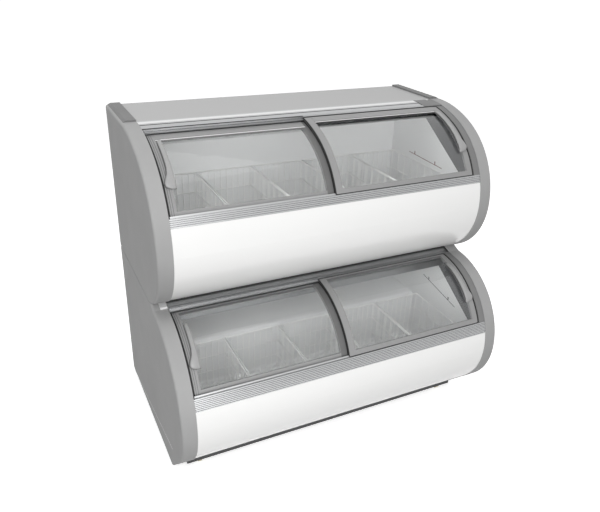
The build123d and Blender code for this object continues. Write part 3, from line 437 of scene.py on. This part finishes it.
def basket_runs(x0, x1, y0, y1, floor, rim, lean):
    """Rods of one basket: loops across it, loops along it and rings round it."""
    r = wire / 2
    x0, x1, y0, y1 = x0 + r, x1 - r, y0 + r, y1 - r
    low, high = floor + r, rim - r
    foot = y0 + lean
    runs = []
    columns = round((x1 - x0) / cross_pitch)
    for i in range(1, columns):
        x = x0 + (x1 - x0) * i / columns
        loop = [(x, y0, high), (x, foot, low + wire), (x, y1, low + wire), (x, y1, high)]
        runs.append((rounded(loop, bend_radius), False))
    rows = round((y1 - foot) / length_pitch)
    for i in range(rows + 1):
        y = foot + (y1 - foot) * i / rows
        loop = [(x0, y, high), (x0, y, low), (x1, y, low), (x1, y, high)]
        runs.append((rounded(loop, bend_radius), False))
    for level in ring_levels:
        z = low + (high - low) * level
        y = y0 + lean * (1 - level)
        ring = [(x0, y, z), (x1, y, z), (x1, y1, z), (x0, y1, z)]
        runs.append((ring, True))
    return runs


print("basket wire:", wire * 1000, "mm, a rod every", cross_pitch * 1000, "mm")

# %% Baskets
basket_count = 5
basket_gap = 0.002
rod_drop = 0.001
rim_wire = 0.0056
rim_inset = 0.003
front_leans = {"upper": 0.1, "lower": 0.118}

for tier, lean in front_leans.items():
    low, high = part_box(f"{tier}_baskets")
    pitch = (high[0] - low[0] + basket_gap) / basket_count
    near, rear, top = low[1] + rim_inset, high[1] - rim_inset, high[2] - rim_inset
    for i in range(basket_count):
        x0 = low[0] + i * pitch
        x1 = x0 + pitch - basket_gap
        runs = basket_runs(x0, x1, low[1], high[1], low[2], high[2] - rod_drop, lean)
        rods = wire_curve(f"{tier}_basket_rods_{i + 1}", runs, wire)
        left, right = x0 + rim_inset, x1 - rim_inset
        rim = [(left, near, top), (right, near, top), (right, rear, top), (left, rear, top)]
        ring = wire_curve(f"{tier}_basket_rim_{i + 1}", [(rim, True)], rim_wire)
        for piece in (rods, ring):
            piece.data.materials.append(wire_coat)
            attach(piece, "cabinet")
            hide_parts(f"{tier}_baskets")
print("baskets:", basket_count * len(front_leans))

# %% [markdown]
# ## Fine trim on the curved fronts
# The seals, joints and lines below follow the same curves as the doors. Each curve is a chain of arcs,
# so a point on it needs only an angle, measured up from the front, and an inset under the rim.

# %% Curve helper
# Each arc: the y and z of its centre, its radius, and the angle in degrees up to which it holds
arcs = {
    "upper": [(0.0705, 0.8645, 0.320, 61.74), (0.13206, 0.750, 0.450, 180.0)],
    "lower": [(-0.106, 0.310, 0.310, 180.0)],
}
step_degrees = 1.5


def on_curve(tier, angle, inset):
    """The (y, z) place at an angle on a tier's front, this far under its rim."""
    centre_y, centre_z, radius = next(arc[:3] for arc in arcs[tier] if angle <= arc[3])
    t = math.radians(angle)
    return centre_y - (radius - inset) * math.cos(t), centre_z + (radius - inset) * math.sin(t)


def loft(name, rings, finish, smooth=True):
    """A closed skin through rings of points, with its two ends filled."""
    count = len(rings[0])
    faces = [tuple(range(count))[::-1], tuple((len(rings) - 1) * count + i for i in range(count))]
    for r in range(len(rings) - 1):
        for i in range(count):
            j = (i + 1) % count
            faces.append((r * count + i, r * count + j, (r + 1) * count + j, (r + 1) * count + i))
    mesh = bpy.data.meshes.new(name)
    mesh.from_pydata([p for ring in rings for p in ring], [], faces)
    mesh.materials.append(finish)
    for face in mesh.polygons:
        face.use_smooth = smooth
    piece = bpy.data.objects.new(name, mesh)
    bpy.context.scene.collection.objects.link(piece)
    return piece


def curved_bar(name, tier, x, insets, angles, finish):
    """A bar of rectangular section that follows a tier's curve."""
    steps = max(2, round(abs(angles[1] - angles[0]) / step_degrees))
    rings = []
    for i in range(steps + 1):
        angle = angles[0] + (angles[1] - angles[0]) * i / steps
        (y0, z0), (y1, z1) = on_curve(tier, angle, insets[0]), on_curve(tier, angle, insets[1])
        rings.append([(x[0], y0, z0), (x[1], y0, z0), (x[1], y1, z1), (x[0], y1, z1)])
    return loft(name, rings, finish, smooth=False)


print("crown of the upper tier:", on_curve("upper", 90, 0))

# %% [markdown]
# ## Strips on the doors
# A door's place is the stretch of X that it covers and the inset of its face, and the angles of its
# foot and its top say where it begins and ends on the curve. Every strip below is laid out from those,
# sinks a little into the face that carries it, and rides with its door.

# %% Door helper
door_places = {
    "left": {"x": (-0.5925, -0.006), "inset": 0.018, "side": -1},
    "right": {"x": (-0.019, 0.5675), "inset": 0.003, "side": 1},
}
door_tops = {"upper": 79.5, "lower": 86.5}
sill_angle = 23.3
foot_gap = 0.0036
root = 0.0002


def foot_degrees(tier, length):
    """The angle that a length takes near the foot of a tier's doors."""
    return math.degrees(length / arcs[tier][0][2])


def top_degrees(tier, length):
    """The angle that a length takes near the top of a tier's doors."""
    return math.degrees(length / arcs[tier][-1][2])


def door_run(tier):
    """The angles of a door's foot and top."""
    return sill_angle + foot_degrees(tier, foot_gap), door_tops[tier]


def door_strip(name, tier, side, x, insets, angles, finish):
    """A strip that runs along a door's curve and rides with the door."""
    strip = curved_bar(f"{tier}_{side}_{name}", tier, x, insets, angles, finish)
    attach(strip, f"{tier}_{side}_door")


for tier in door_tops:
    print(f"{tier} doors reach from", [round(angle, 2) for angle in door_run(tier)], "degrees")

# %% [markdown]
# Black rubber seals run round the outer edges of every door: down the outer edge of its face, under
# its foot and along its top.

# %% Door seals
# Width along X and how far the seal stands off the door's face
side_seals = {"left": (0.0044, 0.0024), "right": (0.004, 0.0016)}
foot_seal_drop = 0.0022
top_seal_rise = 0.0026
edge_seal_depth = 0.0035

for tier in door_tops:
    foot, top = door_run(tier)
    under_foot = (foot - foot_degrees(tier, foot_seal_drop), foot)
    over_top = (top, top + top_degrees(tier, top_seal_rise))
    for side, spec in door_places.items():
        x0, x1 = spec["x"]
        face = spec["inset"]
        width, stand_off = side_seals[side]
        outer = (x0, x0 + width) if side == "left" else (x1 - width, x1)
        proud = (face - stand_off, face + root)
        edge = (face, face + edge_seal_depth)
        door_strip("side_seal", tier, side, outer, proud, (foot, top), rubber)
        door_strip("foot_seal", tier, side, (x0, x1), edge, under_foot, rubber)
        door_strip("top_seal", tier, side, (x0, x1), edge, over_top, rubber)

# %% [markdown]
# Where the doors meet, the right door's edge carries two thin black lips on a dark strip of painted
# shade, and the left door's stile is faced with a darker band, painted shade where the right door
# overlaps it.
# Two fine lines run down the outer stile of a left door. The lips end short of the left door's face, so
# its head strips and the rim of its grip pass under them.

# %% Meeting stiles
edge_shade_width = 0.0006
edge_shade_insets = (0.0036, 0.0148)
lip_insets = ((0.0045, 0.0075), (0.0125, 0.016))
lip_reach = 0.0028
lip_root = 0.0005
shade_band_width = 0.0395
shade_band_rise = 0.0005
stile_lines = (0.0095, 0.0165)
stile_line_width = 0.0014
stile_line_rise = 0.0003

right_edge = door_places["right"]["x"][0]
left_outer, left_inner = door_places["left"]["x"]
left_face = door_places["left"]["inset"]
for tier in door_tops:
    run = door_run(tier)
    strip = (right_edge - edge_shade_width, right_edge)
    # The dark edge strip is painted shade in the gap between the doors
    door_strip("edge_shade", tier, "right", strip, edge_shade_insets, run, painted_shade_abs)
    lip = (right_edge - lip_reach, right_edge - lip_root)
    for i, insets in enumerate(lip_insets):
        door_strip(f"edge_lip_{i + 1}", tier, "right", lip, insets, run, rubber)
    # The band on the left stile is painted shade where the right door overlaps it
    band = (left_inner - shade_band_width, left_inner)
    insets = (left_face - shade_band_rise, left_face)
    door_strip("shade_band", tier, "left", band, insets, run, painted_shade_abs)
    insets = (left_face - stile_line_rise, left_face)
    for i, offset in enumerate(stile_lines):
        line = (left_outer + offset, left_outer + offset + stile_line_width)
        door_strip(f"stile_line_{i + 1}", tier, "left", line, insets, run, cheek_abs)
print("meeting stiles:", 2 * len(door_tops))

# %% [markdown]
# The heads of the upper doors are deep grey bands that end in a pale bead, a painted highlight, between
# two dark lines, painted shade on the left doors. The lower doors are seen more from the front, and
# only one dark line, of painted shade, shows at their heads.

# %% Door heads
stile_width = 0.026


def head_strip(name, tier, side, rise, angles, finish):
    """A strip across a door's head, between its stiles, that stands off its face by its rise."""
    x0, x1 = door_places[side]["x"]
    face = door_places[side]["inset"]
    ends = (x0 + stile_width, x1 - stile_width)
    door_strip(name, tier, side, ends, (face - rise, face + root), angles, finish)


for side in door_places:
    dark = rubber if side == "right" else painted_shade_abs
    head_strip("head_band", "upper", side, 0.0008, (75.1, 79.4), door_abs)
    # The pale bead is a painted highlight
    head_strip("head_highlight", "upper", side, 0.0016, (74.1, 74.6), pale_and_highlight_abs)
    head_strip("head_line_1", "upper", side, 0.0006, (74.6, 75.1), dark)
    head_strip("head_line_2", "upper", side, 0.0008, (73.0, 74.1), dark)
for side in door_places:
    # The dark line at the lower heads is painted shade
    head_strip("head_line", "lower", side, 0.0006, (82.7, 84.6), painted_shade_abs)

# %% [markdown]
# ## Grips
# Each grip is one smooth moulding: narrow at its top end, arched away from the door so that fingers go
# under it, and spread into a rounded lobe at its foot. A loft of rounded sections gives that shape, and
# a thin dark sheet of the same outline, a little wider, lies under it as painted shade round its edges.

# %% Grips
grip_foot, grip_top = 40.4, 74.0
grip_steps = 40
section_points = 20
grip_half_width = 0.0172
stile_reach = 0.042
grip_margin = 0.0016
grip_stand_off = 0.0016
grip_arch = 0.0052
shadow_margin = 0.0014
# Share of the way up a grip against its share of the full width, and against half its height
grip_widths = [(0.0, 0.35), (0.02, 0.72), (0.05, 0.93), (0.1, 1.0), (0.17, 0.88), (0.27, 0.62)]
grip_widths += [(0.4, 0.5), (0.6, 0.46), (0.85, 0.44), (0.95, 0.4), (1.0, 0.24)]
bar_heights = [(0.0, 0.002), (0.08, 0.0046), (0.2, 0.0048), (0.5, 0.0034), (0.9, 0.003), (1.0, 0.0018)]
shadow_heights = [(0.0, 0.0006), (1.0, 0.0006)]


def along(table, t):
    """The value at t, read between the rows of a table."""
    for (t0, v0), (t1, v1) in zip(table, table[1:]):
        if t <= t1:
            return v0 + (v1 - v0) * (t - t0) / (t1 - t0)
    return table[-1][1]


def squared(value, power):
    """A sine or cosine raised with its sign, which turns a round section into a squarer one."""
    return math.copysign(abs(value) ** power, value)


def grip_loft(name, tier, side, heights, finish, stand_off=0.0, arch=0.0, edge=0.0):
    """A moulding along the grip's line: arch lifts its middle, edge widens its outline."""
    spec = door_places[side]
    s = spec["side"]
    stile_edge = (spec["x"][0] if side == "left" else spec["x"][1]) - s * stile_reach
    rings = []
    for i in range(grip_steps + 1):
        t = i / grip_steps
        angle = grip_foot + (grip_top - grip_foot) * t
        shape = grip_half_width * along(grip_widths, t)
        half_height = along(heights, t)
        lift = stand_off + half_height + arch * math.sin(math.pi * t) ** 0.7
        middle = stile_edge + s * (shape + grip_margin)
        ring = []
        for k in range(section_points):
            a = math.tau * k / section_points
            height = lift + half_height * squared(math.sin(a), 0.8)
            y, z = on_curve(tier, angle, spec["inset"] - height)
            ring.append((middle + (shape + edge) * squared(math.cos(a), 0.7), y, z))
        rings.append(ring)
    piece = loft(f"{tier}_{side}_{name}", rings, finish)
    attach(piece, f"{tier}_{side}_door")
    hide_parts(f"{tier}_{side}_door_handle")


for tier in door_tops:
    for side in door_places:
        grip_loft("grip_bar", tier, side, bar_heights, grip_abs, grip_stand_off, grip_arch)
        # The dark flange is painted shade round the grip's edges
        grip_loft("grip_shadow", tier, side, shadow_heights, painted_shade_abs, edge=shadow_margin)
print("grips:", len(door_tops) * len(door_places))

# %% [markdown]
# ## Lines, joints and end pieces on the cabinet
# The pieces from here on ride on the cabinet. A printed line on each tub's right wall marks how high
# goods may be stacked, with two short ticks.

# %% Cabinet helpers
line_rise = 0.0003


def wall_line(name, x, start, end, width, finish):
    """A flat line on a wall that faces along X, between two (y, z) places."""
    a, b = Vector(start), Vector(end)
    across = (b - a).normalized().orthogonal() * width / 2
    outline = [a + across, b + across, b - across, a - across]
    rings = [[(x - d, c.x, c.y) for c in outline] for d in (0.0, line_rise)]
    line = loft(name, rings, finish, smooth=False)
    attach(line, "cabinet")


def fixed_strip(name, tier, x, insets, angles, finish):
    """A strip on the cabinet that runs along a tier's curve."""
    strip = curved_bar(name, tier, x, insets, angles, finish)
    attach(strip, "cabinet")


def block(name, outline, x, finish):
    """A small solid on the cabinet with this (y, z) outline between two X places."""
    rings = [[(at, y, z) for y, z in outline] for at in x]
    piece = loft(name, rings, finish, smooth=False)
    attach(piece, "cabinet")


# %% Load lines
tub_wall = 0.58
line_width = 0.0024
tick_width = 0.005
tick_slope = (0.002, 0.014)
tick_shares = (0.18, 0.8)

for tier, start, end, finish in (
    ("upper", (0.211, 0.960), (-0.018, 0.952), line_red),
    ("lower", (0.002, 0.454), (-0.225, 0.410), line_black),
):
    wall_line(f"{tier}_load_line", tub_wall, start, end, line_width, finish)
    for i, t in enumerate(tick_shares):
        y, z = start[0] + (end[0] - start[0]) * t, start[1] + (end[1] - start[1]) * t
        tip = (y + tick_slope[0], z + tick_slope[1])
        wall_line(f"{tier}_load_tick_{i + 1}", tub_wall, (y, z), tip, tick_width, finish)

# %% [markdown]
# The face of the upper top rail has a bright line, a painted highlight, and black lines along it: the
# one in its groove is painted shade. A dark plastic end piece with a pale spot closes its right end. A
# black line runs along the lower top rail. A strip's inset is negative where it stands proud of the
# rail, and its angles are degrees up from the front.

# %% Rail lines
rail_end_x = 0.5975
joint_x = (0.509, 0.512)
spot_x = (0.570, 0.580)
short_line_end = -0.02
right_end = (joint_x[1], rail_end_x)
long_run = (-rail_end_x, joint_x[0])
short_run = (-rail_end_x, short_line_end)
full_run = (-rail_end_x, rail_end_x)

fixed_strip("rail_end", "upper", right_end, (-0.0008, 0.0), (80.2, 90.0), jamb_abs)
for i, angles in enumerate(((81.0, 84.5), (85.2, 86.7))):
    name = f"rail_face_{i + 1}"
    fixed_strip(name, "upper", long_run, (-0.0003, 0.0), angles, rail_aluminium)
fixed_strip("rail_end_joint", "upper", joint_x, (-0.0009, 0.0), (82.0, 85.4), rubber)
fixed_strip("rail_end_spot", "upper", spot_x, (-0.0011, -0.0006), (88.6, 89.8), pale_and_highlight_abs)
# The black line in the groove is painted shade
fixed_strip("rail_groove_shade", "upper", long_run, (-0.0004, 0.0), (84.5, 85.2), rubber)
fixed_strip("rail_line_2", "upper", short_run, (-0.0004, 0.0), (80.2, 81.0), rubber)
# The pale bead is a painted highlight along the rail's upper edge
fixed_strip("rail_highlight", "upper", long_run, (-0.0004, 0.0), (86.7, 89.6), pale_and_highlight_abs)
fixed_strip("head_line", "lower", full_run, (0.0005, 0.0009), (92.2, 93.0), rubber)

# %% [markdown]
# A black joint runs where the tiers meet, and a small bright block ends the lower top rail at the left.
# Each lower cap has a pale slanted line on its side, a painted highlight along a faint crease. The
# level groove of the solid cap is filled flush, because the photograph shows none.

# %% Joints and side lines
# Outlines as (y, z) places, and the depths of the side pieces as distances from the middle
tier_joint = ((-0.0878, 0.6275), (-0.0842, 0.6275), (-0.0842, 0.6335), (-0.0866, 0.6335))
side_highlight = ((-0.262, 0.1290), (0.405, 0.0210), (0.405, 0.0240), (-0.262, 0.1320))
groove_fill = ((-0.264, 0.085), (0.4065, 0.085), (0.4065, 0.088), (-0.264, 0.088))
rail_block = ((-0.119, 0.6200), (-0.086, 0.6255), (-0.086, 0.6335), (-0.119, 0.6290))
highlight_depths = (0.65003, 0.6495)
fill_depths = (0.65, 0.6488)

block("tier_joint", tier_joint, (-0.597, 0.597), rubber)
for side, spec in door_places.items():
    highlight_x = sorted(spec["side"] * depth for depth in highlight_depths)
    # The pale slanted line is a painted highlight
    block(f"{side}_side_highlight", side_highlight, highlight_x, pale_and_highlight_abs)
    fill_x = sorted(spec["side"] * depth for depth in fill_depths)
    block(f"{side}_groove_fill", groove_fill, fill_x, moulded_abs)
block("lower_rail_block", rail_block, (-0.623, -0.5985), pale_and_highlight_abs)

# %% [markdown]
# ## Floor, lamps and world
# The floor and the world are white where they are seen, straight on or by way of glass and gloss,
# while a duller floor and world take part in the lighting, so the low parts of the cabinet stay darker,
# as in the photograph. A large soft lamp stands in front, to the left, where the rails mirror it at
# their left ends, and a low one under it reaches the rear walls of the tubs. Weaker ones stand at the
# left, at the right, above and behind.

# %% Floor
floor_size = 60
floor_glow = 0.62


def seen_ray(tree):
    """1 on rays from the camera and on those that glass or gloss sends on, else 0."""
    rays = tree.nodes.new("ShaderNodeLightPath")
    seen = rays.outputs["Is Camera Ray"]
    for kind in ("Is Transmission Ray", "Is Glossy Ray"):
        either = add_node(tree, "ShaderNodeMath", {0: seen, 1: rays.outputs[kind]}, operation="MAXIMUM")
        seen = either.outputs["Value"]
    return seen


bpy.ops.mesh.primitive_plane_add(size=floor_size)
floor = bpy.context.object
floor.name = "floor"
floor_paint, tree, output = new_material("white floor")
dull = add_node(tree, "ShaderNodeBsdfDiffuse", {"Color": linear("#787878")})
pale = add_node(tree, "ShaderNodeBsdfDiffuse", {"Color": linear("#f4f4f4")})
glow = add_node(tree, "ShaderNodeEmission", {"Color": (1, 1, 1, 1), "Strength": floor_glow})
lit = add_node(tree, "ShaderNodeAddShader", {0: pale.outputs["BSDF"], 1: glow.outputs["Emission"]})
mix = add_node(
    tree,
    "ShaderNodeMixShader",
    {0: seen_ray(tree), 1: dull.outputs["BSDF"], 2: lit.outputs["Shader"]},
)
tree.links.new(mix.outputs["Shader"], output.inputs["Surface"])
floor.data.materials.append(floor_paint)
print("floor:", tuple(round(v, 1) for v in floor.dimensions))

# %% Lamps
lamp_target = Vector((0, 0, 0.7))


def soft_lamp(name, at, size, power, mirrored=False):
    """A square area lamp that looks at the middle; only a mirrored one shows in reflections."""
    data = bpy.data.lights.new(name, "AREA")
    data.size = size
    data.energy = power
    lamp = bpy.data.objects.new(name, data)
    lamp.location = at
    lamp.rotation_euler = (lamp_target - Vector(at)).to_track_quat("-Z", "Y").to_euler()
    lamp.visible_glossy = mirrored
    bpy.context.scene.collection.objects.link(lamp)


# Name, place, width in metres and power in watts
soft_lamp("key", (-1.2, -3.1, 2.2), 2.2, 50, mirrored=True)
soft_lamp("low", (-0.9, -3.3, 0.5), 1.2, 29, mirrored=True)
soft_lamp("side", (-2.0, -0.3, 2.7), 1.0, 5)
soft_lamp("fill", (3.2, -1.6, 1.6), 2.0, 3)
soft_lamp("top", (-0.5, -0.2, 3.6), 2.4, 24)
soft_lamp("rear", (1.0, 3.0, 2.0), 2.0, 14)
print("lamps:", len(bpy.data.lights))

# %% World
world_light, world_seen = 0.5, 1.0

world = bpy.data.worlds.new("studio")
bpy.context.scene.world = world
world.use_nodes = True
sky = world.node_tree
sky.nodes.clear()
level = add_node(
    sky,
    "ShaderNodeMapRange",
    {"Value": seen_ray(sky), "To Min": world_light, "To Max": world_seen},
)
white = add_node(
    sky,
    "ShaderNodeBackground",
    {"Color": (1, 1, 1, 1), "Strength": level.outputs["Result"]},
)
out = sky.nodes.new("ShaderNodeOutputWorld")
sky.links.new(white.outputs["Background"], out.inputs["Surface"])
bpy.context.scene.view_settings.view_transform = "Standard"
print("world strength:", world_light, "as light,", world_seen, "where it is seen")
